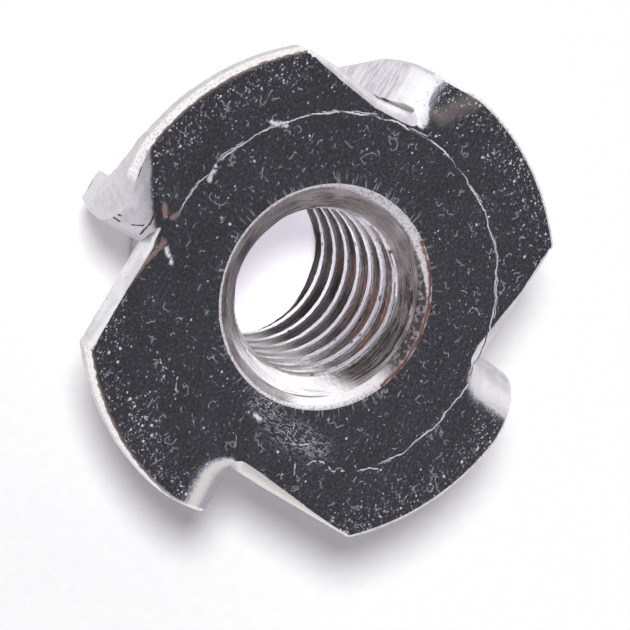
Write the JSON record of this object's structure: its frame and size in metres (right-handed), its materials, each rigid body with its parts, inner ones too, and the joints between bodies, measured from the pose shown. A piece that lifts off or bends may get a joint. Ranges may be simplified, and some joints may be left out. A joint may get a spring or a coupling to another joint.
{
  "type": "tee nut",
  "caption": "One-piece steel tee nut: round flange with folded pointed prongs, and a threaded barrel with a countersunk mouth.",
  "frame": {"origin": "centre of the barrel's end face, on the thread's axis", "axes": "+Z along the thread's axis from the barrel's end to the flange's outer face; +X and +Y each lie along the start of one prong's fold"},
  "size_m": [0.025, 0.025, 0.012],
  "materials": {
    "steel": "bright rolled flange face with fine scratches, satin folds and sheared edges"
  },
  "bodies": {
    "root": {"tee_nut": "steel"}
  },
  "joints": []
}
